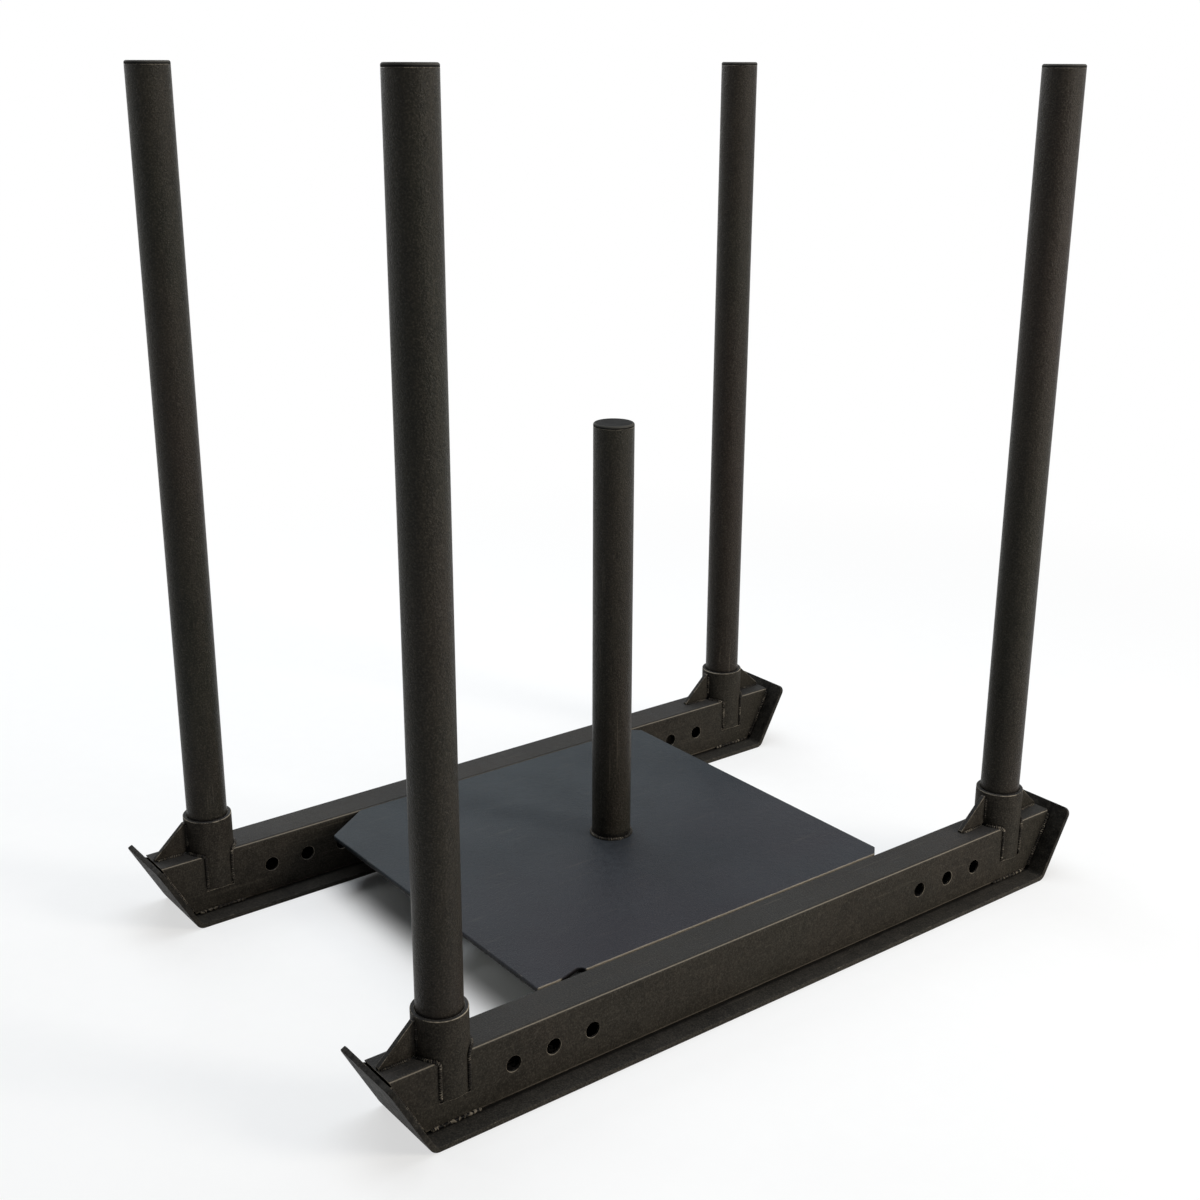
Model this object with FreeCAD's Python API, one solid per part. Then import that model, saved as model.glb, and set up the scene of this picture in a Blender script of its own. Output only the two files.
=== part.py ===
import FreeCAD, Part
import math
import os
from FreeCAD import Vector

# Drag sled: two box-section rails on bent skid plates, a deck plate between them,
# a load post on the deck and four uprights that lift out of welded sockets.
# Millimetres. +Z up, Z = 0 on the ground. The front, with the tow slot, faces -Y.
# The origin lies on the ground under the load post.

# Rails
rail_spacing = 535.0        # centre to centre across the sled
rail_width = 50.0
rail_height = 75.0
rail_wall = 3.0
rail_corner_radius = 4.5
rail_end_gap = 3.5          # between the slanted rail end and the skid plate's upturn

# Skid plates
skid_overhang = 25.0        # beyond each side of the rail
skid_thickness = 6.0
skid_flat_half = 461.0      # centre to the outer corner of each bend
skid_upturn_angle = 62.0    # degrees above the ground
skid_upturn_proud = 8.0     # tip of the upturn above the top of the rail
skid_bend_radius = 6.0      # inside the bend
skid_tip_radius = 9.0

# Side holes through both walls of each rail, three near each end
side_hole_diameter = 18.0
side_hole_pitch = 50.0
side_hole_count = 3
side_hole_setback = 70.0    # from the upright to the outermost hole

# Uprights
upright_diameter = 48.3
upright_wall = 3.2
upright_length = 957.0
upright_setback = 41.0      # from the bend in the skid plate

# Sockets
socket_clearance = 0.5      # radial, between upright and socket
socket_wall = 4.5
socket_rise = 44.0          # above the top of the rail
socket_depth = 46.0         # below the top of the rail
socket_floor = 5.0          # the upright stands on it
socket_seat_gap = 1.5       # between the socket and the cut in the rail, bridged by the weld

# Gussets
gusset_thickness = 6.0
gusset_height = 40.0
gusset_end_margin = 1.5     # from its foot to the end of the rail
gusset_nose = 3.0           # blunt end at the foot and at the top
gusset_relief = 6.0         # clears the socket's weld

# Deck plate
deck_thickness = 6.0
deck_front_setback = 135.0  # from the front uprights to the front edge
deck_rear_setback = 185.0   # from the rear uprights to the rear edge
deck_edge_chamfer = 1.0
front_corner_cut_x = 43.0
front_corner_cut_y = 62.0
front_corner_radius = 6.0
rear_corner_cut_x = 13.0
rear_corner_cut_y = 14.0

# Teardrop slots: the tow slot at the middle of the front, and the seam slot beside a rail
slot_radius = 11.0
slot_length = 36.0          # tip to the far side of the round end
tow_slot_setback = 23.0     # front edge to the tip
seam_slot_radius = 8.0
seam_slot_setback = 28.0

# Load post
load_post_diameter = 48.3
load_post_wall = 3.2
load_post_length = 520.0
load_post_bevel_height = 4.0    # its foot is bevelled for the weld
load_post_bevel_depth = 2.0

# End caps
cap_flange = 4.0
cap_stem_length = 18.0
cap_rib_count = 12          # upright ribs round the stem
cap_rib_depth = 2.0
cap_clearance = 0.05        # radial, between the ribs and the tube

# Weld beads
socket_weld_leg = 5.0
seam_weld_leg = 2.6         # up the sides of a socket
rail_end_weld_leg = 4.0
gusset_weld_leg = 3.5
skid_weld_leg = 4.5
skid_weld_length = 60.0
skid_weld_end_margin = 4.0
deck_weld_leg = 4.0
load_post_weld_leg = 5.0
weld_margin = 0.5           # a bead stops this short of an edge

# Heights and places that follow
rail_bottom = skid_thickness
rail_top = rail_bottom + rail_height
rail_floor = rail_bottom + rail_wall
rail_x = rail_spacing / 2
rail_inner_x = rail_x - rail_width / 2
skid_width = rail_width + 2 * skid_overhang
upright_y = skid_flat_half - upright_setback
upright_radius = upright_diameter / 2
socket_bore_radius = upright_radius + socket_clearance
socket_radius = socket_bore_radius + socket_wall
socket_top = rail_top + socket_rise
socket_bottom = rail_top - socket_depth
upright_bottom = socket_bottom + socket_floor
deck_bottom = rail_top - deck_thickness
deck_front = upright_y - deck_front_setback
deck_rear = upright_y - deck_rear_setback
load_post_radius = load_post_diameter / 2
upturn = math.radians(skid_upturn_angle)
skid_inner_corner = skid_flat_half - skid_thickness * math.tan(upturn / 2)
rail_end_low = skid_inner_corner - rail_end_gap / math.sin(upturn)
rail_end_high = rail_end_low + rail_height / math.tan(upturn)
gusset_foot = rail_end_high - gusset_end_margin - upright_y
past = 10.0                 # how far a cutting tool runs past what it cuts

SIDES = {"left": -1, "right": 1}
ENDS = {"front": -1, "rear": 1}


def face_from(points):
    """A flat face with straight sides through the points."""
    return Part.Face(Part.makePolygon(points + [points[0]]))


def prism_along_x(points_yz, x_low, x_high):
    """A prism along X whose section is given as (y, z) points."""
    face = face_from([Vector(x_low, y, z) for y, z in points_yz])
    return face.extrude(Vector(x_high - x_low, 0, 0))


def prism_along_y(points_xz, y_low, y_high):
    """A prism along Y whose section is given as (x, z) points."""
    face = face_from([Vector(x, y_low, z) for x, z in points_xz])
    return face.extrude(Vector(0, y_high - y_low, 0))


def arc_edge(start, middle, stop):
    return Part.Arc(start, middle, stop).toShape()


def rounded_section(width, height, radius, x_centre, z_low, y):
    """A rectangle with round corners, standing in the plane at y."""
    x0, x1 = x_centre - width / 2, x_centre + width / 2
    z0, z1 = z_low, z_low + height
    k = radius * (1 - math.sqrt(0.5))
    edges = [
        Part.makeLine(Vector(x0 + radius, y, z0), Vector(x1 - radius, y, z0)),
        arc_edge(Vector(x1 - radius, y, z0), Vector(x1 - k, y, z0 + k), Vector(x1, y, z0 + radius)),
        Part.makeLine(Vector(x1, y, z0 + radius), Vector(x1, y, z1 - radius)),
        arc_edge(Vector(x1, y, z1 - radius), Vector(x1 - k, y, z1 - k), Vector(x1 - radius, y, z1)),
        Part.makeLine(Vector(x1 - radius, y, z1), Vector(x0 + radius, y, z1)),
        arc_edge(Vector(x0 + radius, y, z1), Vector(x0 + k, y, z1 - k), Vector(x0, y, z1 - radius)),
        Part.makeLine(Vector(x0, y, z1 - radius), Vector(x0, y, z0 + radius)),
        arc_edge(Vector(x0, y, z0 + radius), Vector(x0 + k, y, z0 + k), Vector(x0 + radius, y, z0)),
    ]
    return Part.Wire(edges)


def near(a, b):
    return abs(a - b) < 0.01


def edges_where(shape, test):
    """The edges whose middle point passes the test."""
    return [e for e in shape.Edges if test(e.CenterOfMass)]


def tube(x, y, z_low, length, radius, wall):
    """A round tube standing on end."""
    outer = Part.makeCylinder(radius, length, Vector(x, y, z_low))
    inner = Part.makeCylinder(radius - wall, length, Vector(x, y, z_low))
    return outer.cut(inner)


def ring(x, y, section):
    """A ring round an upright axis whose section is given as (radius, z) points."""
    face = face_from([Vector(x + radius, y, z) for radius, z in section])
    return face.revolve(Vector(x, y, 0), Vector(0, 0, 1), 360)


def rail_blank(x, reach):
    """The outside of a rail, before its ends are cut, from -reach to reach."""
    section = rounded_section(rail_width, rail_height, rail_corner_radius, x, rail_bottom, -reach)
    return Part.Face(section).extrude(Vector(0, 2 * reach, 0))


def rail(side):
    """A box tube with slanted ends, side holes and the cuts that take the sockets."""
    x = side * rail_x
    reach = rail_end_high + past
    body = rail_blank(x, reach)
    hollow = Part.makeBox(rail_width - 2 * rail_wall, 2 * reach, rail_height - 2 * rail_wall,
                          Vector(x - rail_width / 2 + rail_wall, -reach, rail_floor))
    body = body.cut(hollow)
    outline = [(-rail_end_low, rail_bottom), (rail_end_low, rail_bottom),
               (rail_end_high, rail_top), (-rail_end_high, rail_top)]
    body = body.common(prism_along_x(outline, x - rail_width, x + rail_width))
    cutters = [side_hole_cutter(x, end * y) for end in ENDS.values() for y in side_hole_places()]
    cutters += [socket_cutter(x, end * upright_y) for end in ENDS.values()]
    for cutter in cutters:
        body = body.cut(cutter)
    return body


def side_hole_places():
    """Distances of the side holes from the middle of the rail."""
    outermost = upright_y - side_hole_setback
    return [outermost - i * side_hole_pitch for i in range(side_hole_count)]


def side_hole_cutter(x, y):
    start = Vector(x - rail_width / 2 - past, y, rail_bottom + rail_height / 2)
    return Part.makeCylinder(side_hole_diameter / 2, rail_width + 2 * past, start, Vector(1, 0, 0))


def socket_cutter(x, y):
    low = socket_bottom - socket_seat_gap
    return Part.makeCylinder(socket_radius + socket_seat_gap, rail_top + past - low, Vector(x, y, low))


def skid_plate(side):
    """A plate under the rail, bent up at both ends, with round corners at its tips."""
    x = side * rail_x
    slope = (math.cos(upturn), math.sin(upturn))
    inward = (-math.sin(upturn), math.cos(upturn))
    run = (rail_top + skid_upturn_proud - skid_thickness * inward[1]) / slope[1]
    tip_out = (skid_flat_half + run * slope[0], run * slope[1])
    tip_in = (tip_out[0] + skid_thickness * inward[0], tip_out[1] + skid_thickness * inward[1])
    half = [(skid_flat_half, 0), tip_out, tip_in, (skid_inner_corner, skid_thickness)]
    outline = half + [(-y, z) for y, z in reversed(half)]
    plate = prism_along_x(outline, x - skid_width / 2, x + skid_width / 2)
    tip_y = (tip_out[0] + tip_in[0]) / 2
    tips = edges_where(plate, lambda c: near(abs(c.y), tip_y) and abs(c.x - x) > skid_width / 4)
    plate = plate.makeFillet(skid_tip_radius, tips)
    inner = edges_where(plate, lambda c: near(abs(c.y), skid_inner_corner) and near(c.z, skid_thickness))
    plate = plate.makeFillet(skid_bend_radius, inner)
    outer = edges_where(plate, lambda c: near(abs(c.y), skid_flat_half) and near(c.z, 0))
    return plate.makeFillet(skid_bend_radius + skid_thickness, outer)


def teardrop_cutter(x, tip, radius, length):
    """A slot with a point towards the front and a round end behind it."""
    reach = length - radius
    centre_y = -tip + reach
    lean = math.asin(radius / reach)
    touch = Vector(radius * math.cos(lean), centre_y - radius * math.sin(lean), 0)
    z = deck_bottom - past
    point = Vector(x, -tip, z)
    right = Vector(x + touch.x, touch.y, z)
    left = Vector(x - touch.x, touch.y, z)
    back = Vector(x, centre_y + radius, z)
    wire = Part.Wire([
        Part.makeLine(point, right),
        arc_edge(right, back, left),
        Part.makeLine(left, point),
    ])
    return Part.Face(wire).extrude(Vector(0, 0, deck_thickness + 2 * past))


def deck_plate():
    """The flat plate between the rails, flush with their tops."""
    half = rail_inner_x
    outline = [
        Vector(-half + front_corner_cut_x, -deck_front, deck_bottom),
        Vector(half, -deck_front, deck_bottom),
        Vector(half, deck_rear - rear_corner_cut_y, deck_bottom),
        Vector(half - rear_corner_cut_x, deck_rear, deck_bottom),
        Vector(-half + rear_corner_cut_x, deck_rear, deck_bottom),
        Vector(-half, deck_rear - rear_corner_cut_y, deck_bottom),
        Vector(-half, -deck_front + front_corner_cut_y, deck_bottom),
    ]
    plate = face_from(outline).extrude(Vector(0, 0, deck_thickness))
    corner = outline[0]
    nose = edges_where(plate, lambda c: near(c.x, corner.x) and near(c.y, corner.y))
    plate = plate.makeFillet(front_corner_radius, nose)
    plate = plate.cut(teardrop_cutter(0, deck_front - tow_slot_setback, slot_radius, slot_length))
    plate = plate.cut(teardrop_cutter(half, deck_front - seam_slot_setback, seam_slot_radius, slot_length))
    front_rim = edges_where(plate, lambda c: near(c.y, -deck_front) and near(c.z, rail_top))
    rear_rim = edges_where(plate, lambda c: near(c.y, deck_rear) and near(c.z, rail_top))
    return plate.makeChamfer(deck_edge_chamfer, front_rim + rear_rim)


def socket(side, end):
    """A cup let into the rail, with a floor, that holds an upright."""
    x, y = side * rail_x, end * upright_y
    body = Part.makeCylinder(socket_radius, socket_top - socket_bottom, Vector(x, y, socket_bottom))
    bore = Part.makeCylinder(socket_bore_radius, socket_top, Vector(x, y, upright_bottom))
    return body.cut(bore)


def gusset(side, end, direction):
    """A thin triangular plate on the rail that braces a socket, towards the front or the rear."""
    x, y = side * rail_x, end * upright_y
    top = rail_top + gusset_height
    outline = [
        (y, rail_top + gusset_relief),
        (y + direction * (socket_radius - gusset_nose), rail_top + gusset_relief),
        (y + direction * (socket_radius + gusset_relief), rail_top),
        (y + direction * gusset_foot, rail_top),
        (y + direction * gusset_foot, rail_top + gusset_nose),
        (y + direction * (socket_radius + gusset_nose), top),
        (y, top),
    ]
    plate = prism_along_x(outline, x - gusset_thickness / 2, x + gusset_thickness / 2)
    return plate.cut(Part.makeCylinder(socket_radius, top + past, Vector(x, y, 0)))


def upright(side, end):
    """A post that stands on the floor of its socket and lifts out of it."""
    return tube(side * rail_x, end * upright_y, upright_bottom, upright_length, upright_radius, upright_wall)


def load_post():
    """The post that is welded upright on the deck, with a bevel round its foot."""
    post = tube(0, 0, rail_top, load_post_length, load_post_radius, load_post_wall)
    bevel = [(load_post_radius - load_post_bevel_depth, rail_top),
             (load_post_radius + past, rail_top),
             (load_post_radius, rail_top + load_post_bevel_height)]
    return post.cut(ring(0, 0, bevel))


def end_cap(x, y, z_end, tube_radius, tube_wall):
    """A plastic plug: a round flange as wide as the tube, and a ribbed stem that grips its bore."""
    flange = Part.makeCylinder(tube_radius, cap_flange, Vector(x, y, z_end))
    ridge = tube_radius - tube_wall - cap_clearance
    points = []
    for i in range(2 * cap_rib_count):
        radius = ridge if i % 2 == 0 else ridge - cap_rib_depth
        angle = math.pi * i / cap_rib_count
        offset = Vector(radius * math.cos(angle), radius * math.sin(angle), -cap_stem_length)
        points.append(Vector(x, y, z_end) + offset)
    stem = face_from(points).extrude(Vector(0, 0, cap_stem_length))
    return flange.fuse(stem)


def load_post_weld():
    """A bead that fills the bevel at the post's foot and reaches out onto the deck."""
    section = [(load_post_radius - load_post_bevel_depth, rail_top),
               (load_post_radius + load_post_weld_leg, rail_top),
               (load_post_radius, rail_top + load_post_bevel_height)]
    return ring(0, 0, section)


def socket_weld(side, end):
    """Arcs on the rail's top and upright seams where the socket shows in the side walls."""
    x, y = side * rail_x, end * upright_y
    flat = rail_width - 2 * rail_corner_radius
    corner = Vector(x - flat / 2, y - 2 * socket_radius, rail_top)
    window = Part.makeBox(flat, 4 * socket_radius, past, corner)
    section = [(socket_radius, rail_top), (socket_radius + socket_weld_leg, rail_top),
               (socket_radius, rail_top + socket_weld_leg)]
    arcs = ring(x, y, section).common(window)
    slit = gusset_thickness + 2 * weld_margin
    for direction in gusset_directions(end):
        y_low = y if direction > 0 else y - 2 * socket_radius
        gap = Part.makeBox(slit, 2 * socket_radius, past, Vector(x - slit / 2, y_low, rail_top))
        arcs = arcs.cut(gap)
    return list(arcs.Solids) + side_seams(x, y)


def side_seams(x, y):
    """Four upright beads that close the gap between a socket and the cut in the side walls."""
    outer = rail_width / 2
    inner = outer - rail_wall
    reach = (outer + socket_radius) / 2
    cut_radius = socket_radius + socket_seat_gap
    section = [
        (outer, math.sqrt(cut_radius ** 2 - outer ** 2) + seam_weld_leg),
        (outer, math.sqrt(cut_radius ** 2 - outer ** 2)),
        (inner, math.sqrt(cut_radius ** 2 - inner ** 2)),
        (inner, 0),
        (reach, math.sqrt(socket_radius ** 2 - reach ** 2)),
    ]
    height = rail_top - rail_corner_radius - socket_bottom
    core = Part.makeCylinder(socket_radius, rail_top, Vector(x, y, 0))
    pieces = []
    for wall in (-1, 1):
        for edge in (-1, 1):
            corners = [Vector(x + wall * u, y + edge * v, socket_bottom) for u, v in section]
            seam = face_from(corners).extrude(Vector(0, 0, height))
            pieces += seam.cut(core).Solids
    return pieces


def gusset_directions(end):
    """The front sockets have one gusset, towards the tip; the rear ones have one each way."""
    return (-1,) if end < 0 else (-1, 1)


def gusset_weld(side, end, direction):
    """Two beads along the foot of a gusset."""
    x, y = side * rail_x, end * upright_y
    start = y + direction * (socket_radius + gusset_relief + weld_margin)
    stop = y + direction * (gusset_foot - weld_margin)
    pieces = []
    for wall in (-1, 1):
        face_x = x + wall * gusset_thickness / 2
        section = [(face_x, rail_top), (face_x + wall * gusset_weld_leg, rail_top),
                   (face_x, rail_top + gusset_weld_leg)]
        pieces.append(prism_along_y(section, min(start, stop), max(start, stop)))
    return pieces


def skid_weld(side, end):
    """A stitch on each side of the rail's foot, near its end."""
    x = side * rail_x
    stop = rail_end_low - skid_weld_end_margin
    start = stop - skid_weld_length
    pieces = []
    for wall in (-1, 1):
        face_x = x + wall * rail_width / 2
        inside = face_x - wall * rail_corner_radius
        section = [(inside, rail_bottom), (face_x + wall * skid_weld_leg, rail_bottom),
                   (face_x, rail_bottom + rail_corner_radius + skid_weld_leg)]
        bead = prism_along_y(section, min(end * start, end * stop), max(end * start, end * stop))
        pieces += bead.cut(rail_blank(x, rail_end_high)).Solids
    return pieces


def rail_end_weld(side, end):
    """A bead on each side of the rail's slanted end, where it meets the skid plate's upturn."""
    x = side * rail_x
    along = Vector(0, end * math.cos(upturn), math.sin(upturn))
    away = Vector(0, -end * math.sin(upturn), math.cos(upturn))
    low = rail_bottom + rail_corner_radius + weld_margin
    high = rail_top - rail_corner_radius - weld_margin
    y = end * (skid_inner_corner + (low - skid_thickness) / math.tan(upturn))
    pieces = []
    for wall in (-1, 1):
        corner = Vector(x + wall * rail_width / 2, y, low)
        on_plate = corner + Vector(wall * rail_end_weld_leg, 0, 0)
        on_rail = corner + away * (rail_end_gap + rail_end_weld_leg)
        section = face_from([corner, on_plate, on_rail])
        pieces.append(section.extrude(along * ((high - low) / math.sin(upturn))))
    return pieces


def deck_weld(side):
    """A bead that joins the deck's underside to the inner wall of a rail."""
    face_x = side * rail_inner_x
    front = -deck_front + (front_corner_cut_y if side < 0 else 0) + weld_margin
    rear = deck_rear - rear_corner_cut_y - weld_margin
    section = [(face_x, deck_bottom), (face_x - side * deck_weld_leg, deck_bottom),
               (face_x, deck_bottom - deck_weld_leg)]
    return prism_along_y(section, front, rear)


def export(name, shape):
    shape.exportStep("parts/" + name + ".step")


def export_group(name, solids):
    export(name, Part.makeCompound(solids))


def build_corner(side_name, end_name):
    """A socket with its gussets, its upright and the upright's cap."""
    side, end = SIDES[side_name], ENDS[end_name]
    corner = end_name + "_" + side_name
    export(corner + "_socket", socket(side, end))
    export(corner + "_upright", upright(side, end))
    upright_top = upright_bottom + upright_length
    cap = end_cap(side * rail_x, end * upright_y, upright_top, upright_radius, upright_wall)
    export(corner + "_upright_cap", cap)
    for direction in gusset_directions(end):
        place = "_outer_gusset" if direction == end else "_inner_gusset"
        export(corner + place, gusset(side, end, direction))


def build():
    os.makedirs("parts", exist_ok=True)
    socket_welds, gusset_welds, skid_welds, rail_end_welds = [], [], [], []
    for side_name, side in SIDES.items():
        export(side_name + "_rail", rail(side))
        export(side_name + "_skid_plate", skid_plate(side))
        for end_name, end in ENDS.items():
            build_corner(side_name, end_name)
            socket_welds += socket_weld(side, end)
            skid_welds += skid_weld(side, end)
            rail_end_welds += rail_end_weld(side, end)
            for direction in gusset_directions(end):
                gusset_welds += gusset_weld(side, end, direction)
    export("deck_plate", deck_plate())
    export("load_post", load_post())
    cap = end_cap(0, 0, rail_top + load_post_length, load_post_radius, load_post_wall)
    export("load_post_cap", cap)
    export_group("socket_welds", socket_welds)
    export_group("gusset_welds", gusset_welds)
    export_group("skid_welds", skid_welds)
    export_group("rail_end_welds", rail_end_welds)
    export_group("deck_welds", [deck_weld(side) for side in SIDES.values()] + [load_post_weld()])


build()
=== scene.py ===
import math

import bmesh
import bpy
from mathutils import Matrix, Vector


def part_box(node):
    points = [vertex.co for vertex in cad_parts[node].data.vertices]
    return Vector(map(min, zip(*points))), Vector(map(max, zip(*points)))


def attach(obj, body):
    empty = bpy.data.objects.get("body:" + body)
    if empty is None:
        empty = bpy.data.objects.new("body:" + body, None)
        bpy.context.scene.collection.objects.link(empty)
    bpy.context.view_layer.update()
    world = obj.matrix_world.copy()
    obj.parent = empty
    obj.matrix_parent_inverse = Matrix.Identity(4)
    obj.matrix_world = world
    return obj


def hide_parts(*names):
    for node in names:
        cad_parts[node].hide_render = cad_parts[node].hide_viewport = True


# Drag sled: black powder-coated rails, skid plates, deck, sockets and tubes,
# their weld beads, and plastic caps. Metres, in the frame of the solids.
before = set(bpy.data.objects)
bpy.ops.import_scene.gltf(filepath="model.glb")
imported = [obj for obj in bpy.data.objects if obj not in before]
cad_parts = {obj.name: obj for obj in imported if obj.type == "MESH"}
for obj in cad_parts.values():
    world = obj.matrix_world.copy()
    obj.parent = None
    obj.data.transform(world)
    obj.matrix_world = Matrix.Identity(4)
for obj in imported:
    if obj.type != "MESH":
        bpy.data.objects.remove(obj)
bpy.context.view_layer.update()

CORNERS = [(end, side) for end in ("front", "rear") for side in ("left", "right")]
SIGN = {"front": -1, "rear": 1, "left": -1, "right": 1}

# Sizes that the boxes of the solids don't give
rail_corner = 0.0045
rail_end_angle = math.radians(62)
tube_wall = 0.0032
socket_wall = 0.0045
socket_floor = 0.005
cap_stem_length = 0.018
cap_rib_count = 12
cap_rib_depth = 0.002
cap_play = 0.00005
cap_dish = 0.0003
gusset_relief = 0.006
skid_thickness = 0.006
deck_front_cut = 0.062
deck_rear_cut = 0.014

rail_low, rail_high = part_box("right_rail")
rail_x = (rail_low.x + rail_high.x) / 2
rail_half = (rail_high.x - rail_low.x) / 2
rail_foot, rail_top = rail_low.z, rail_high.z
rail_end_low = rail_high.y - (rail_top - rail_foot) / math.tan(rail_end_angle)
socket_low, socket_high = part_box("front_right_socket")
socket_radius = (socket_high.x - socket_low.x) / 2
socket_y = abs(socket_low.y + socket_high.y) / 2
post_low, post_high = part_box("load_post")
post_radius = (post_high.x - post_low.x) / 2

# How finely round pieces are cut, and how wide the edges are rounded
around = 96
tube_edge = 0.0005
rim_edge = 0.0009
foot_edge = 0.0006
cap_edge = 0.0024
cap_joint = 0.0004
rail_rounding = 0.0006
skid_rounding = 0.0009
plate_rounding = 0.0007
sharp_angle = math.radians(28)
flat_angle = math.radians(0.6)


# Meshes

def merged_copy(node):
    """A solid's mesh with its doubles merged and its flat faces joined."""
    bm = bmesh.new()
    bm.from_mesh(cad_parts[node].data)
    bmesh.ops.remove_doubles(bm, verts=bm.verts, dist=2e-6)
    bmesh.ops.dissolve_limit(bm, angle_limit=flat_angle, verts=bm.verts, edges=bm.edges)
    return bm


def round_edges(bm, width):
    """Rounds every sharp edge and marks the middle of each rounding in the edge attribute."""
    sharp = [e for e in bm.edges if len(e.link_faces) == 2 and e.calc_face_angle(0) > sharp_angle]
    result = bmesh.ops.bevel(bm, geom=sharp, offset=width, segments=2, profile=0.5,
                             affect="EDGES", clamp_overlap=False, loop_slide=False)
    rounding = set(result["faces"])
    edge = bm.verts.layers.float.new("edge")
    for vert in bm.verts:
        vert[edge] = float(all(face in rounding for face in vert.link_faces))


def rounded_outline(corners, steps=4):
    """Rounds an outline's corners, given as (radius, z, rounding).

    Returns points as (radius, z, mark), where the mark is 1 inside a rounding.
    """
    outline = []
    for i, (radius, z, rounding) in enumerate(corners):
        here = Vector((radius, z))
        if not rounding:
            outline.append((radius, z, 0.0))
            continue
        before = (Vector(corners[i - 1][:2]) - here).normalized()
        after = (Vector(corners[(i + 1) % len(corners)][:2]) - here).normalized()
        half = before.angle(after) / 2
        centre = here + (before + after).normalized() * rounding / math.sin(half)
        start = here + before * rounding / math.tan(half) - centre
        stop = here + after * rounding / math.tan(half) - centre
        for k in range(steps + 1):
            point = centre + start.slerp(stop, k / steps).normalized() * rounding
            outline.append((point.x, point.y, float(0 < k < steps)))
    return outline


def lathe(x, y, outline, bm=None):
    """Turns an outline round the upright axis at x, y. It may start and end on the axis."""
    bm = bm or bmesh.new()
    edge = bm.verts.layers.float.get("edge") or bm.verts.layers.float.new("edge")
    rings = []
    for k in range(around):
        turn = 2 * math.pi * k / around
        ring = []
        for radius, z, mark in outline:
            vert = bm.verts.new((x + radius * math.cos(turn), y + radius * math.sin(turn), z))
            vert[edge] = mark
            ring.append(vert)
        rings.append(ring)
    open_ended = outline[0][0] == 0 and outline[-1][0] == 0
    spans = len(outline) - 1 if open_ended else len(outline)
    for k in range(around):
        here, there = rings[k], rings[(k + 1) % around]
        for i in range(spans):
            j = (i + 1) % len(outline)
            bm.faces.new((here[i], there[i], there[j], here[j]))
    bmesh.ops.remove_doubles(bm, verts=bm.verts, dist=1e-7)
    bmesh.ops.recalc_face_normals(bm, faces=bm.faces)
    return bm


def piece(name, mesh, material, body, slot, *nodes):
    """Puts a finished mesh in the scene in place of its solids."""
    if isinstance(mesh, bmesh.types.BMesh):
        bm, mesh = mesh, bpy.data.meshes.new(name)
        bm.to_mesh(mesh)
        bm.free()
    mesh.polygons.foreach_set("use_smooth", [True] * len(mesh.polygons))
    mesh.materials.clear()
    mesh.materials.append(material)
    obj = bpy.data.objects.new(name, mesh)
    bpy.context.scene.collection.objects.link(obj)
    shading = obj.modifiers.new("even_shading", "WEIGHTED_NORMAL")
    shading.keep_sharp = True
    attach(obj, body)
    if nodes:
        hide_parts(*nodes)
    return obj


# Nodes

def add(tree, kind, sockets=None, **settings):
    """Adds a node. Sockets take a value or another node's output, by name or number."""
    node = tree.nodes.new(kind)
    for key, value in settings.items():
        setattr(node, key, value)
    for key, value in (sockets or {}).items():
        if isinstance(value, bpy.types.NodeSocket):
            tree.links.new(value, node.inputs[key])
        else:
            node.inputs[key].default_value = value
    return node


def maths(tree, operation, a, b=0.0, c=0.0, clamp=False):
    node = add(tree, "ShaderNodeMath", {0: a, 1: b, 2: c}, operation=operation, use_clamp=clamp)
    return node.outputs[0]


def ramp(tree, value, low, high, to_low=0.0, to_high=1.0):
    """A smooth step between two values."""
    sockets = {"Value": value, "From Min": low, "From Max": high, "To Min": to_low,
               "To Max": to_high}
    node = add(tree, "ShaderNodeMapRange", sockets, interpolation_type="SMOOTHSTEP")
    return node.outputs["Result"]


def blend(tree, factor, a, b):
    """Mixes two colours."""
    return add(tree, "ShaderNodeMix", {0: factor, 6: a, 7: b}, data_type="RGBA").outputs[2]


def vector_maths(tree, operation, a, b=(0, 0, 0)):
    return add(tree, "ShaderNodeVectorMath", {0: a, 1: b}, operation=operation)


def axes(tree, vector):
    """The three parts of a vector, as sockets named X, Y and Z."""
    return add(tree, "ShaderNodeSeparateXYZ", {0: vector}).outputs


def noise(tree, vector, scale, detail=2.0, roughness=0.5):
    sockets = {"Vector": vector, "Scale": scale, "Detail": detail, "Roughness": roughness}
    return add(tree, "ShaderNodeTexNoise", sockets).outputs["Fac"]


def place(tree):
    """Where a point is, in the object's own coordinates."""
    return add(tree, "ShaderNodeTexCoord").outputs["Object"]


def colour(red, green, blue):
    return (red, green, blue, 1.0)


def group(name, kind, inputs, outputs):
    """An empty node group. Inputs are (name, type, value) and outputs (name, type).

    Returns the tree, the sockets of its inputs and the sockets of its outputs.
    """
    tree = bpy.data.node_groups.new(name, kind)
    for label, socket_type, value in inputs:
        socket = tree.interface.new_socket(label, in_out="INPUT", socket_type=socket_type)
        if value is not None:
            socket.default_value = value
    for label, socket_type in outputs:
        tree.interface.new_socket(label, in_out="OUTPUT", socket_type=socket_type)
    given = tree.nodes.new("NodeGroupInput").outputs
    result = tree.nodes.new("NodeGroupOutput").inputs
    return tree, given, result


FLOAT = "NodeSocketFloat"


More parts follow.
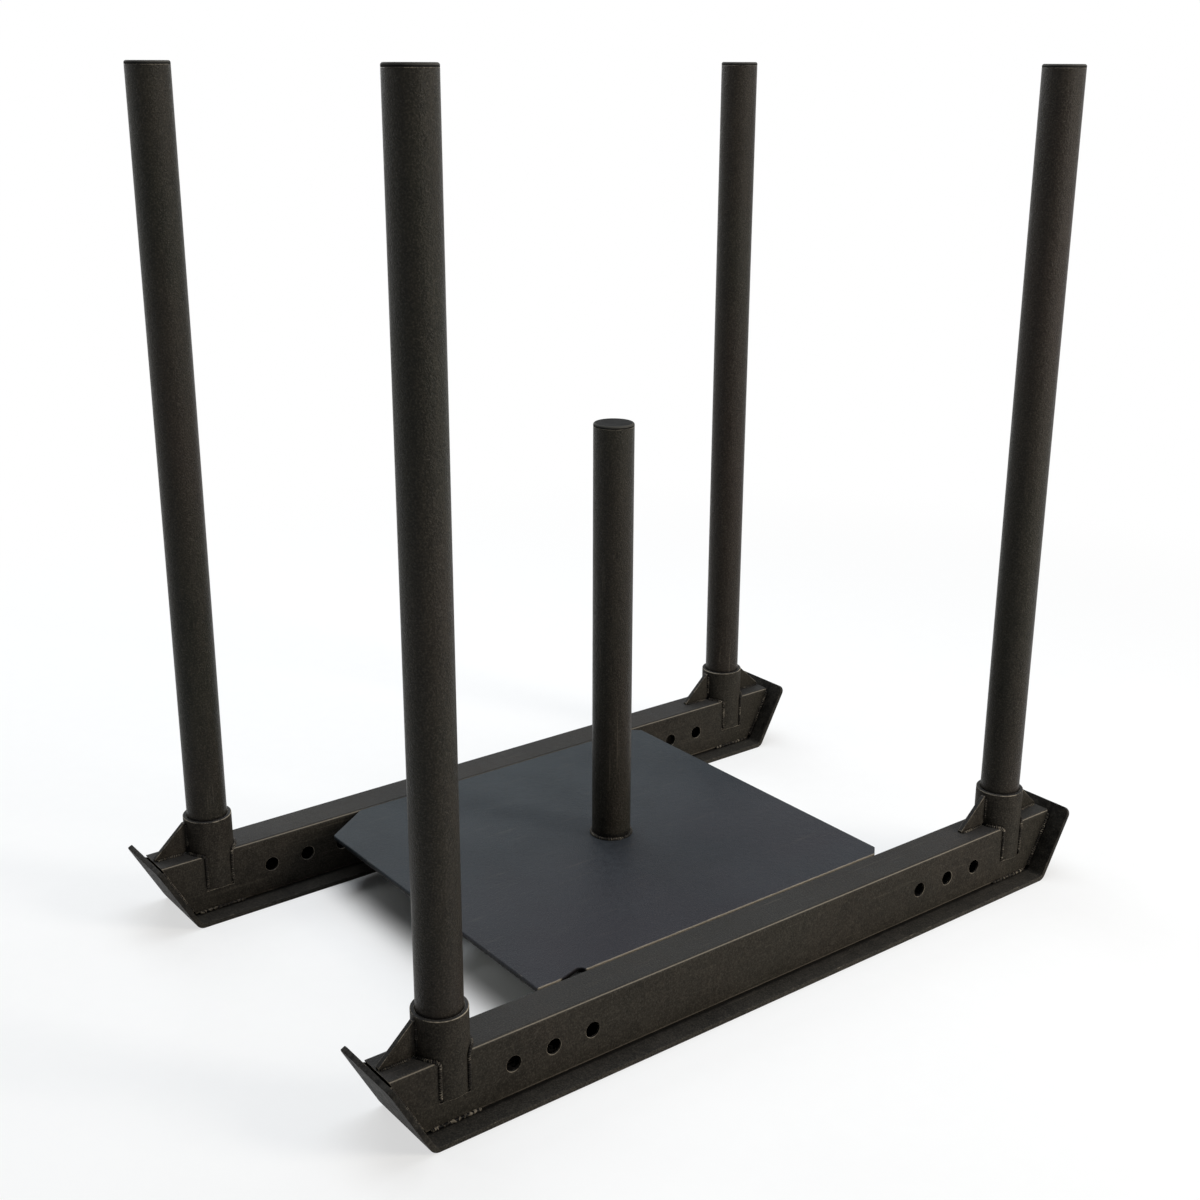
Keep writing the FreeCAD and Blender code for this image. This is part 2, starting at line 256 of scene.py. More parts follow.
def coat_grain():
    """The fine peel of powder coat: its height, its light specks and its dark pits."""
    inputs = [("Grain Size", FLOAT, 0.0012), ("Speck Amount", FLOAT, 0.5)]
    outputs = [("Height", FLOAT), ("Specks", FLOAT), ("Pits", FLOAT)]
    tree, given, result = group("coat_grain", "ShaderNodeTree", inputs, outputs)
    where = place(tree)
    fine = noise(tree, where, maths(tree, "DIVIDE", 1.0, given["Grain Size"]), 3.0, 0.6)
    coarse = noise(tree, where, maths(tree, "DIVIDE", 0.3, given["Grain Size"]), 2.0)
    height = maths(tree, "MULTIPLY_ADD", coarse, 0.6, fine)
    specks = ramp(tree, fine, 0.48, 0.70)
    pits = ramp(tree, fine, 0.50, 0.34)
    tree.links.new(height, result["Height"])
    tree.links.new(maths(tree, "MULTIPLY", specks, given["Speck Amount"]), result["Specks"])
    tree.links.new(maths(tree, "MULTIPLY", pits, given["Speck Amount"]), result["Pits"])
    return tree


def coat_drift():
    """Slow changes of tone across a coated surface."""
    inputs = [("Patch Size", FLOAT, 0.09), ("Streak", FLOAT, 1.0)]
    outputs = [("Drift", FLOAT), ("Mottle", FLOAT)]
    tree, given, result = group("coat_drift", "ShaderNodeTree", inputs, outputs)
    stretch = add(tree, "ShaderNodeCombineXYZ", {0: 1.0, 1: 1.0, 2: given["Streak"]}).outputs[0]
    where = vector_maths(tree, "MULTIPLY", place(tree), stretch).outputs[0]
    size = maths(tree, "DIVIDE", 1.0, given["Patch Size"])
    drift = noise(tree, where, size, 3.0)
    mottle = noise(tree, where, maths(tree, "MULTIPLY", size, 9.0), 4.0, 0.65)
    tree.links.new(ramp(tree, drift, 0.3, 0.7), result["Drift"])
    tree.links.new(ramp(tree, mottle, 0.3, 0.72), result["Mottle"])
    return tree


def edge_wear():
    """Marks along an edge, broken up by noise: wear of the coat, and painted highlights where
    edges and crests meet the light.
    """
    inputs = [("Edge", FLOAT, 0.0), ("Amount", FLOAT, 0.5), ("Patch Size", FLOAT, 0.02)]
    tree, given, result = group("edge_wear", "ShaderNodeTree", inputs, [("Wear", FLOAT)])
    where = place(tree)
    size = maths(tree, "DIVIDE", 1.0, given["Patch Size"])
    broad = noise(tree, where, size, 3.0, 0.6)
    fine = noise(tree, where, maths(tree, "MULTIPLY", size, 12.0), 3.0, 0.6)
    broken = maths(tree, "MULTIPLY_ADD", fine, 0.5, broad)
    threshold = maths(tree, "SUBTRACT", 1.25, given["Amount"])
    chips = ramp(tree, maths(tree, "SUBTRACT", broken, threshold), -0.18, 0.14)
    tree.links.new(maths(tree, "MULTIPLY", chips, given["Edge"], clamp=True), result["Wear"])
    return tree


def settled_film():
    """A thin dusty film on faces that look up; its bluish tint is painted cool light from above.
    """
    inputs = [("Amount", FLOAT, 0.5), ("Patch Size", FLOAT, 0.12)]
    tree, given, result = group("settled_film", "ShaderNodeTree", inputs, [("Film", FLOAT)])
    up = axes(tree, add(tree, "ShaderNodeNewGeometry").outputs["Normal"])["Z"]
    where = place(tree)
    size = maths(tree, "DIVIDE", 1.0, given["Patch Size"])
    patches = ramp(tree, noise(tree, where, size, 4.0, 0.6), 0.25, 0.75, 0.6, 1.0)
    film = maths(tree, "MULTIPLY", ramp(tree, up, 0.3, 0.98), patches)
    tree.links.new(maths(tree, "MULTIPLY", film, given["Amount"]), result["Film"])
    return tree


def rail_edge():
    """How near a point is to the long edges of a rail: its top edges, and its bottom ones."""
    inputs = [("Half Width", FLOAT, rail_half), ("Rail Centre", FLOAT, rail_x),
              ("Top", FLOAT, rail_top), ("Foot", FLOAT, rail_foot), ("Band", FLOAT, 0.003)]
    outputs = [("Top Edge", FLOAT), ("Bottom Edge", FLOAT)]
    tree, given, result = group("rail_edge", "ShaderNodeTree", inputs, outputs)
    split = axes(tree, place(tree))
    across = maths(tree, "SUBTRACT", maths(tree, "ABSOLUTE", split["X"]), given["Rail Centre"])
    inward = maths(tree, "SUBTRACT", given["Half Width"], maths(tree, "ABSOLUTE", across))
    ends = {"Top Edge": maths(tree, "SUBTRACT", given["Top"], split["Z"]),
            "Bottom Edge": maths(tree, "SUBTRACT", split["Z"], given["Foot"])}
    for label, away in ends.items():
        away = maths(tree, "DIVIDE", maths(tree, "MAXIMUM", inward, away), given["Band"])
        tree.links.new(ramp(tree, away, 1.0, 0.5), result[label])
    return tree


def crevices():
    """How near a point is to the joints where shade is painted, broken up by noise. The right
    side also places the deck's painted seam highlight.
    """
    inputs = [("Rail Centre", FLOAT, rail_x), ("Half Width", FLOAT, rail_half),
              ("Foot", FLOAT, rail_foot), ("Top", FLOAT, rail_top), ("Socket Y", FLOAT, socket_y),
              ("Socket Radius", FLOAT, socket_radius), ("Socket Foot", FLOAT, socket_low.z),
              ("Rim", FLOAT, socket_high.z), ("Post Radius", FLOAT, post_radius),
              ("Reach", FLOAT, 0.003)]
    joints = ("Socket", "Left Side", "Right Side", "Foot", "Top", "Below Top", "Rim", "Post")
    outputs = [(joint, FLOAT) for joint in joints]
    tree, given, result = group("crevices", "ShaderNodeTree", inputs, outputs)
    split = axes(tree, place(tree))
    across = maths(tree, "SUBTRACT", maths(tree, "ABSOLUTE", split["X"]), given["Rail Centre"])
    along = maths(tree, "SUBTRACT", maths(tree, "ABSOLUTE", split["Y"]), given["Socket Y"])
    offset = add(tree, "ShaderNodeCombineXYZ", {0: across, 1: along}).outputs[0]
    from_socket = vector_maths(tree, "LENGTH", offset).outputs["Value"]
    level = add(tree, "ShaderNodeCombineXYZ", {0: split["X"], 1: split["Y"]}).outputs[0]
    from_post = vector_maths(tree, "LENGTH", level).outputs["Value"]
    sideways = maths(tree, "SUBTRACT", maths(tree, "ABSOLUTE", across), given["Half Width"])
    gaps = {"Socket": maths(tree, "SUBTRACT", from_socket, given["Socket Radius"]),
            "Left Side": sideways,
            "Right Side": sideways,
            "Below Top": 0.0,
            "Foot": maths(tree, "SUBTRACT", split["Z"], given["Foot"]),
            "Top": maths(tree, "SUBTRACT", split["Z"], given["Top"]),
            "Rim": maths(tree, "SUBTRACT", split["Z"], given["Rim"]),
            "Post": maths(tree, "SUBTRACT", from_post, given["Post Radius"])}
    uneven = noise(tree, place(tree), 90.0, 3.0)
    reach = maths(tree, "MULTIPLY", given["Reach"], maths(tree, "MULTIPLY_ADD", uneven, 1.6, 0.3))
    above_foot = maths(tree, "SUBTRACT", split["Z"], given["Socket Foot"])
    limits = {"Socket": ramp(tree, above_foot, -0.002, 0.001),
              "Left Side": ramp(tree, split["X"], 0.01, -0.01),
              "Right Side": ramp(tree, split["X"], -0.01, 0.01),
              "Top": ramp(tree, sideways, 0.0, -0.002),
              "Below Top": ramp(tree, gaps["Top"], -0.0012, -0.0028)}
    for joint in joints:
        away = maths(tree, "DIVIDE", maths(tree, "ABSOLUTE", gaps[joint]), reach)
        near = maths(tree, "MULTIPLY", ramp(tree, away, 1.0, 0.15), limits.get(joint, 1.0))
        tree.links.new(near, result[joint])
    return tree


def scuffs():
    """Fine scratches. They are short across an axis whose number is high."""
    inputs = [("Across X", FLOAT, 300.0), ("Across Y", FLOAT, 300.0), ("Across Z", FLOAT, 8.0),
              ("Amount", FLOAT, 0.3)]
    tree, given, result = group("scuffs", "ShaderNodeTree", inputs, [("Scuffs", FLOAT)])
    packing = add(tree, "ShaderNodeCombineXYZ",
                  {0: given["Across X"], 1: given["Across Y"], 2: given["Across Z"]}).outputs[0]
    where = vector_maths(tree, "MULTIPLY", place(tree), packing).outputs[0]
    lines = ramp(tree, noise(tree, where, 1.0, 4.0, 0.6), 0.56, 0.7)
    patches = ramp(tree, noise(tree, place(tree), 14.0, 3.0), 0.42, 0.66)
    mask = maths(tree, "MULTIPLY", lines, patches)
    tree.links.new(maths(tree, "MULTIPLY", mask, given["Amount"], clamp=True), result["Scuffs"])
    return tree


GROUPS = {build.__name__: build() for build in
          (coat_grain, coat_drift, edge_wear, settled_film, rail_edge, crevices, scuffs)}


def effect(tree, name, **values):
    """Places one of the groups. Underscores in a value's name stand for spaces."""
    node = tree.nodes.new("ShaderNodeGroup")
    node.node_tree = GROUPS[name]
    for key, value in values.items():
        socket = node.inputs[key.replace("_", " ")]
        if isinstance(value, bpy.types.NodeSocket):
            tree.links.new(value, socket)
        else:
            socket.default_value = value
    return node.outputs


def shader(name, rough, specular):
    """A material with a Principled shader. Returns it, its tree and the shader's inputs."""
    material = bpy.data.materials.new(name)
    material.use_nodes = True
    tree = material.node_tree
    tree.nodes.clear()
    surface = add(tree, "ShaderNodeBsdfPrincipled",
                  {"Roughness": rough, "Specular IOR Level": specular})
    add(tree, "ShaderNodeOutputMaterial", {"Surface": surface.outputs["BSDF"]})
    return material, tree, surface.inputs


def relief(tree, surface, peel, strength, height):
    """Bumps a surface with the coat's peel."""
    bump = add(tree, "ShaderNodeBump",
               {"Strength": strength, "Distance": height, "Height": peel["Height"]})
    tree.links.new(bump.outputs["Normal"], surface["Normal"])


def attribute(tree, name):
    return add(tree, "ShaderNodeAttribute", attribute_name=name).outputs["Fac"]


# The colour of the coat's wear, also of painted highlights on lit edges, the deck's right seam
# and weld crests.
WEAR_AND_HIGHLIGHT = colour(0.27, 0.235, 0.185)
# The colour of the caps' edge wear, also of a painted highlight on their shoulders.
PLASTIC_WEAR_AND_HIGHLIGHT = colour(0.1, 0.095, 0.085)
SPECK = colour(0.062, 0.056, 0.046)
# A dusty film's colour, its bluish tint painted cool light from above.
DUST_AND_SKY_TINT = colour(0.050, 0.054, 0.062)
# Dark pits in the coat, and the colour of painted shade at joints, on the deck's edges and
# underside, between weld ripples and on the skids' upturns.
PITS_AND_SHADE = colour(0.0035, 0.0032, 0.003)
SHADE_STRENGTH = 0.85


def painted_joint_shade(tree, base, joints, reach, **levels):
    """Paints shade near the named joints by darkening a colour. A level moves one joint for this
    material.
    """
    near = effect(tree, "crevices", Reach=reach, **levels)
    amount = 0.0
    for joint in joints:
        amount = maths(tree, "MAXIMUM", amount, near[joint])
    return blend(tree, maths(tree, "MULTIPLY", amount, SHADE_STRENGTH), base, PITS_AND_SHADE)


def rubbed_rail_edges(tree, band):
    """Wear and painted highlights on a rail's long edges, the bottom ones weaker and wider than
    the top ones.
    At the bottom they are a painted reflection of the floor's light.
    """
    near_top = effect(tree, "rail_edge", Band=band)["Top Edge"]
    top = effect(tree, "edge_wear", Edge=near_top, Amount=0.86, Patch_Size=0.05)["Wear"]
    near_foot = effect(tree, "rail_edge", Band=2.0 * band)["Bottom Edge"]
    low = effect(tree, "edge_wear", Edge=near_foot, Amount=0.68, Patch_Size=0.08)["Wear"]
    wear_and_lit_line = maths(tree, "MAXIMUM", maths(tree, "MULTIPLY", low, 0.55), top)
    return maths(tree, "MULTIPLY", wear_and_lit_line, 0.7)


def painted_seam_highlight(tree, share):
    """A painted highlight: a thin light line where the deck meets the right rail."""
    near = effect(tree, "crevices", Reach=0.0016)["Right Side"]
    wear_and_lit_line = effect(tree, "edge_wear", Edge=near, Amount=0.9, Patch_Size=0.05)["Wear"]
    return maths(tree, "MULTIPLY", wear_and_lit_line, share)


def coat(name, dark, light, other, rough=0.55, specular=0.05, film=0.35, wear=0.5, streak=1.0,
         grain=0.0018, specks=0.5, peel_height=0.0006, joints=(), reach=0.003, levels=None,
         lean=0.0, seam=0.0, band=0.0, scuffing=None, foot=None, shelter=0.0):
    """Satin black powder coat.

    Its tone drifts from dark to light, and its hue towards the other colour. Lean gives a
    half width across which that hue is kept to the right of the sled: a painted sheen that
    leaves the left bluish and lighter. Joints, reach and levels say where painted shade
    darkens the joints. Band paints wear and highlights along a rail's long edges, seam a
    painted highlight along the deck's right one, and foot gives the heights between which
    the scuffing fades. Shelter paints shade on a plate above its foot.
    """
    material, tree, surface = shader(name, rough, specular)
    drift = effect(tree, "coat_drift", Streak=streak)
    peel = effect(tree, "coat_grain", Grain_Size=grain, Speck_Amount=specks)
    split = axes(tree, place(tree))

    slow = maths(tree, "MULTIPLY", drift["Drift"], 0.4)
    base = blend(tree, maths(tree, "MULTIPLY_ADD", drift["Mottle"], 0.6, slow), dark, light)
    hue = effect(tree, "coat_drift", Patch_Size=0.16, Streak=streak)["Drift"]
    # With a lean, the hue is painted sheen: kept to the right, it leaves the left bluish and
    # lighter.
    if lean:
        hue = maths(tree, "MULTIPLY_ADD", hue, 0.5, 0.6)
        hue = maths(tree, "MULTIPLY", hue, ramp(tree, split["X"], -lean, lean))
    base = blend(tree, maths(tree, "MULTIPLY", hue, 0.7), base, other)
    base = blend(tree, peel["Specks"], base, SPECK)
    base = blend(tree, peel["Pits"], base, PITS_AND_SHADE)

    # A dusty film on up-facing faces, tinted with painted cool light from above.
    dust_and_sky = effect(tree, "settled_film", Amount=film)["Film"]
    base = blend(tree, dust_and_sky, base, DUST_AND_SKY_TINT)
    # Painted shade near the joints.
    if joints:
        base = painted_joint_shade(tree, base, joints, reach, **(levels or {}))
    if shelter:
        # Painted shade on a plate's upturn, deeper higher up.
        upturn_shade = maths(tree, "MULTIPLY", ramp(tree, split["Z"], 0.008, 0.03), drift["Mottle"])
        base = blend(tree, maths(tree, "MULTIPLY", upturn_shade, shelter), base, PITS_AND_SHADE)

    # Wear on rounded edges and scuffs; the rail bands and the deck's seam add painted highlights.
    wear_and_highlight = effect(tree, "edge_wear", Edge=attribute(tree, "edge"), Amount=wear)["Wear"]
    # A rail's long edges take wear and painted highlights.
    if band:
        wear_and_highlight = maths(tree, "MAXIMUM", wear_and_highlight, rubbed_rail_edges(tree, band))
    # The deck's right seam takes a painted highlight.
    if seam:
        wear_and_highlight = maths(tree, "MAXIMUM", wear_and_highlight, painted_seam_highlight(tree, seam))
    if scuffing:
        marks = effect(tree, "scuffs", **scuffing)["Scuffs"]
        if foot:
            fade = ramp(tree, split["Z"], foot[0], foot[1], 1.0, 0.25)
            marks = maths(tree, "MULTIPLY", marks, fade)
        wear_and_highlight = maths(tree, "MAXIMUM", wear_and_highlight, marks)
    base = blend(tree, wear_and_highlight, base, WEAR_AND_HIGHLIGHT)
    tree.links.new(base, surface["Base Color"])

    shine = maths(tree, "MULTIPLY_ADD", drift["Mottle"], 0.12, rough - 0.06)
    shine = maths(tree, "MULTIPLY_ADD", dust_and_sky, 0.12, shine)
    tree.links.new(shine, surface["Roughness"])
    relief(tree, surface, peel, 0.9, peel_height)
    return material


def coated_weld():
    """Coated weld bead, with painted shade between its ripples, and wear with a painted highlight
    on their crests.
    """
    material, tree, surface = shader("weld_coat", 0.5, 0.06)
    drift = effect(tree, "coat_drift", Patch_Size=0.03)
    peel = effect(tree, "coat_grain", Grain_Size=0.0007)
    dark, light = colour(0.010, 0.009, 0.0072), colour(0.034, 0.029, 0.024)
    base = blend(tree, drift["Mottle"], dark, light)
    crest = ramp(tree, attribute(tree, "crest"), 0.5, 1.0)
    # Painted shade between the ripples.
    base = blend(tree, crest, PITS_AND_SHADE, base)
    # Wear with a painted highlight on the crests.
    wear_and_highlight = effect(tree, "edge_wear", Edge=crest, Amount=0.4, Patch_Size=0.014)["Wear"]
    base = blend(tree, maths(tree, "MULTIPLY", wear_and_highlight, 0.75), base, WEAR_AND_HIGHLIGHT)
    tree.links.new(base, surface["Base Color"])
    tree.links.new(maths(tree, "MULTIPLY_ADD", wear_and_highlight, 0.15, 0.45), surface["Roughness"])
    relief(tree, surface, peel, 0.4, 0.0002)
    return material


def moulded_plastic():
    """Moulded black plastic with a fine spark texture. Its edge wear also stands for a painted
    highlight on the shoulder.
    """
    material, tree, surface = shader("cap_plastic", 0.6, 0.02)
    peel = effect(tree, "coat_grain", Grain_Size=0.0005, Speck_Amount=0.3)
    drift = effect(tree, "coat_drift", Patch_Size=0.02)
    dark, light = colour(0.006, 0.006, 0.006), colour(0.012, 0.012, 0.0115)
    base = blend(tree, drift["Mottle"], dark, light)
    # Wear with a painted highlight on the shoulder.
    wear_and_highlight = effect(tree, "edge_wear", Edge=attribute(tree, "edge"), Amount=0.8)["Wear"]
    base = blend(tree, maths(tree, "MULTIPLY", wear_and_highlight, 0.45), base, PLASTIC_WEAR_AND_HIGHLIGHT)
    tree.links.new(base, surface["Base Color"])
    tree.links.new(maths(tree, "MULTIPLY_ADD", drift["Drift"], 0.12, 0.55), surface["Roughness"])
    relief(tree, surface, peel, 0.5, 0.0001)
    return material


def tube_paint(name, **marks):
    """The coat of the tubes, glossier than the rest and streaked along them."""
    return coat(name, colour(0.0078, 0.0084, 0.0056), colour(0.0205, 0.0192, 0.0140),
                colour(0.0215, 0.0145, 0.0118), rough=0.34, specular=0.085, film=0.2,
                streak=0.35, grain=0.0017, specks=0.42, peel_height=0.0011, **marks)


# Rails: painted shade round the sockets and along the feet, painted highlights along the long
# edges.
rail_coat = coat("rail_coat", colour(0.0115, 0.0097, 0.0075), colour(0.031, 0.0262, 0.021),
                 colour(0.0205, 0.019, 0.0152), specks=0.4, film=0.25, band=0.0022,
                 joints=("Socket", "Foot"),
                 scuffing={"Across_X": 300.0, "Across_Y": 7.0, "Across_Z": 260.0, "Amount": 0.08})
# Deck: painted sheen on its left, painted shade along its left seam, on its edges and underside
# and round the load post, a painted highlight along its right seam.
deck_coat = coat("deck_coat", colour(0.0130, 0.0182, 0.0220), colour(0.0300, 0.0378, 0.0430),
                 colour(0.0225, 0.0190, 0.0240), rough=0.42, specular=0.045, film=0.15,
                 wear=0.2, specks=0.22, joints=("Left Side", "Post", "Below Top"), reach=0.002,
                 lean=0.3, seam=0.7,
                 scuffing={"Across_X": 120.0, "Across_Y": 9.0, "Across_Z": 60.0, "Amount": 0.05})
# Braces: painted shade where they meet the sockets and the rail tops.
brace_coat = coat("brace_coat", colour(0.0115, 0.0095, 0.0075), colour(0.030, 0.0255, 0.0205),
                  colour(0.0205, 0.019, 0.015), wear=0.45, specks=0.4, joints=("Socket", "Top"))
# Sockets: painted shade where they meet the rail tops.
socket_coat = coat("socket_coat", colour(0.0115, 0.0098, 0.0078), colour(0.031, 0.0265, 0.0215),
                   colour(0.0205, 0.019, 0.015), wear=0.5, specks=0.45, joints=("Top",),
                   reach=0.004)
# Uprights: painted shade at the socket rims. Load post: painted shade at the deck.
tube_coat = tube_paint("tube_coat", joints=("Rim",), scuffing={"Amount": 0.1}, foot=(0.13, 0.3))
post_coat = tube_paint("post_coat", joints=("Foot",), levels={"Foot": rail_top + 0.004},
                       reach=0.006, scuffing={"Amount": 0.18}, foot=(0.2, 0.6))
# Skid plates: painted shade along the rails' feet and on the upturns.
skid_coat = coat("skid_coat", colour(0.0095, 0.0085, 0.0068), colour(0.036, 0.0315, 0.026),
                 colour(0.0225, 0.0205, 0.0165), film=0.1, wear=0.25, specks=0.5,
                 joints=("Left Side", "Right Side"), reach=0.004, shelter=0.9,
                 scuffing={"Across_X": 260.0, "Across_Y": 6.0, "Across_Z": 300.0, "Amount": 0.4},
                 foot=(0.0005, 0.003))
weld_coat = coated_weld()
cap_plastic = moulded_plastic()


# Plates and rails keep the shape of their solids, with rounded edges

def dress(node, material, slot, rounding):
    bm = merged_copy(node)
    round_edges(bm, rounding)
    piece(node + "_coated", bm, material, "frame", slot, node)


for side in ("left", "right"):
    dress(side + "_rail", rail_coat, "frame_paint", rail_rounding)
    dress(side + "_skid_plate", skid_coat, "skid_paint", skid_rounding)
dress("deck_plate", deck_coat, "frame_paint", plate_rounding)
for end, side in CORNERS:
    dress(f"{end}_{side}_outer_gusset", brace_coat, "frame_paint", plate_rounding)
    if end == "rear":
        dress(f"{end}_{side}_inner_gusset", brace_coat, "frame_paint", plate_rounding)


# Round pieces are turned

def upright_axis(node):
    """A round node's axis, radius, foot and top, from its box."""
    low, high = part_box(node)
    return (low.x + high.x) / 2, (low.y + high.y) / 2, (high.x - low.x) / 2, low.z, high.z


def turned_tube(node, body, material):
    """A tube whose ends are rounded outside, the top one tighter, for its cap."""
    x, y, radius, foot, top = upright_axis(node)
    bore = radius - tube_wall
    outline = [(bore, foot, tube_edge), (radius, foot, tube_edge), (radius, top, cap_joint),
               (bore, top, 0)]
    bm = lathe(x, y, rounded_outline(outline))
    piece(node + "_tube", bm, material, body, "tube_paint", node)


def turned_socket(node):
    """A cup with a floor, a rounded foot and a rounded rim."""
    x, y, radius, foot, rim = upright_axis(node)
    bore = radius - socket_wall
    floor = foot + socket_floor
    outline = [(0, foot, 0), (radius, foot, foot_edge), (radius, rim, rim_edge),
               (bore, rim, foot_edge), (bore, floor, 0), (0, floor, 0)]
    bm = lathe(x, y, rounded_outline(outline))
    piece(node + "_cup", bm, socket_coat, "frame", "frame_paint", node)


def moulded_cap(node, body):
    """A round flange with a soft shoulder on a ribbed stem."""
    x, y, radius, foot, top = upright_axis(node)
    seat = foot + cap_stem_length
    outline = [(0, seat, 0), (radius, seat, cap_joint), (radius, top, cap_edge),
               (0, top - cap_dish, 0)]
    bm = lathe(x, y, rounded_outline(outline, 6))
    ridge = radius - tube_wall - cap_play
    points = 2 * cap_rib_count
    rings = [[], []]
    for i in range(points):
        reach = ridge if i % 2 == 0 else ridge - cap_rib_depth
        turn = 2 * math.pi * i / points
        for ring, z in zip(rings, (foot, seat)):
            ring.append(bm.verts.new((x + reach * math.cos(turn), y + reach * math.sin(turn), z)))
    low, high = rings
    for i in range(points):
        j = (i + 1) % points
        bm.faces.new((low[i], low[j], high[j], high[i]))
    bm.faces.new(list(reversed(low)))
    bm.faces.new(high)
    piece(node + "_moulding", bm, cap_plastic, body, "cap_plastic", node)


turned_tube("load_post", "frame", post_coat)
moulded_cap("load_post_cap", "frame")
for end, side in CORNERS:
    corner = f"{end}_{side}"
    turned_tube(corner + "_upright", corner + "_upright", tube_coat)
    moulded_cap(corner + "_upright_cap", corner + "_upright")
    turned_socket(corner + "_socket")


# Weld beads follow paths

def weld_bead():
    """Sweeps a rippled bead along every path of a mesh of edges."""
    shape, paint = "NodeSocketGeometry", "NodeSocketMaterial"
    inputs = [("Geometry", shape, None), ("Bead Radius", FLOAT, 0.002), ("Step", FLOAT, 0.0004),
              ("Ripple Pitch", FLOAT, 0.0016), ("Ripple Height", FLOAT, 0.0004),
              ("Unevenness", FLOAT, 0.0009), ("Seed", FLOAT, 0.0), ("Material", paint, None)]
    outputs = [("Geometry", shape)]
    tree, given, result = group("weld_bead", "GeometryNodeTree", inputs, outputs)
    curve = add(tree, "GeometryNodeMeshToCurve", {"Mesh": given["Geometry"]}).outputs[0]
    curve = add(tree, "GeometryNodeResampleCurve", {"Curve": curve, "Length": given["Step"]},
                mode="LENGTH").outputs[0]
    along = add(tree, "GeometryNodeSplineParameter").outputs["Length"]
    total = add(tree, "GeometryNodeSplineLength").outputs["Length"]
    capture = tree.nodes.new("GeometryNodeCaptureAttribute")
    capture.capture_items.new("FLOAT", "along")
    tree.links.new(curve, capture.inputs[0])
    tree.links.new(along, capture.inputs[1])
    to_end = maths(tree, "MINIMUM", along, maths(tree, "SUBTRACT", total, along))
    taper = ramp(tree, maths(tree, "DIVIDE", to_end, given["Bead Radius"]), 0.0, 1.2, 0.45, 1.0)
    section = add(tree, "GeometryNodeCurvePrimitiveCircle",
                  {"Resolution": 10, "Radius": given["Bead Radius"]}).outputs["Curve"]
    sweep = add(tree, "GeometryNodeCurveToMesh",
                {"Curve": capture.outputs[0], "Profile Curve": section, "Scale": taper,
                 "Fill Caps": True}).outputs[0]
    where = add(tree, "GeometryNodeInputPosition").outputs[0]
    shift = add(tree, "ShaderNodeCombineXYZ", {0: given["Seed"]}).outputs[0]
    where = vector_maths(tree, "ADD", where, shift).outputs[0]
    wobble = maths(tree, "SUBTRACT", noise(tree, where, 260.0, 2.0), 0.5)
    beat = maths(tree, "DIVIDE", capture.outputs[1], given["Ripple Pitch"])
    beat = maths(tree, "MULTIPLY_ADD", wobble, 2.2, beat)
    crest = maths(tree, "ABSOLUTE", maths(tree, "SINE", maths(tree, "MULTIPLY", beat, math.pi)))
    swell = maths(tree, "SUBTRACT", crest, 0.6)
    swell = maths(tree, "MULTIPLY", swell, given["Ripple Height"])
    swell = maths(tree, "MULTIPLY_ADD", wobble, given["Unevenness"], swell)
    outward = add(tree, "GeometryNodeInputNormal").outputs[0]
    offset = add(tree, "ShaderNodeVectorMath", {0: outward, "Scale": swell},
                 operation="SCALE").outputs[0]
    named = add(tree, "GeometryNodeStoreNamedAttribute",
                {"Geometry": sweep, "Name": "crest", "Value": crest},
                data_type="FLOAT", domain="POINT").outputs[0]
    moved = add(tree, "GeometryNodeSetPosition", {"Geometry": named, "Offset": offset}).outputs[0]
    smooth = add(tree, "GeometryNodeSetShadeSmooth", {"Geometry": moved}).outputs[0]
    real = add(tree, "GeometryNodeRealizeInstances", {"Geometry": smooth}).outputs[0]
    done = add(tree, "GeometryNodeSetMaterial",
               {"Geometry": real, "Material": given["Material"]}).outputs[0]
    tree.links.new(done, result["Geometry"])
    return tree


bead_tree = weld_bead()


def path_mesh(name, paths):
    """A mesh of edges. A path whose ends meet is closed."""
    bm = bmesh.new()
    for path in paths:
        closed = (path[0] - path[-1]).length < 1e-6
        verts = [bm.verts.new(point) for point in (path[:-1] if closed else path)]
        for a, b in zip(verts, verts[1:]):
            bm.edges.new((a, b))
        if closed:
            bm.edges.new((verts[-1], verts[0]))
    mesh = bpy.data.meshes.new(name)
    bm.to_mesh(mesh)
    bm.free()
    return mesh


def beads(name, node, paths, **values):
    """Weld beads along paths, in place of one node of welds."""
    guide = bpy.data.objects.new(name + "_guide", path_mesh(name + "_guide", paths))
    bpy.context.scene.collection.objects.link(guide)
    modifier = guide.modifiers.new("bead", "NODES")
    modifier.node_group = bead_tree
    values["Material"] = weld_coat
    for item in bead_tree.interface.items_tree:
        key = item.name.replace(" ", "_")
        if item.in_out == "INPUT" and key in values:
            modifier[item.identifier] = values[key]
    bpy.context.view_layer.update()
    evaluated = guide.evaluated_get(bpy.context.evaluated_depsgraph_get())
    mesh = bpy.data.meshes.new_from_object(evaluated)
    bpy.data.objects.remove(guide)
    bm = bmesh.new()
    bm.from_mesh(mesh)
    bmesh.ops.recalc_face_normals(bm, faces=bm.faces)
    bm.to_mesh(mesh)
    bm.free()
    piece(name, mesh, weld_coat, "frame", "weld_paint", node)


def line(start, stop):
    return [Vector(start), Vector(stop)]


def centre_of(node):
    low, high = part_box(node)
    return (low + high) / 2


def gusset_directions(end):
    """The ways along y in which braces stand at a corner."""
    return (-1,) if end == "front" else (-1, 1)


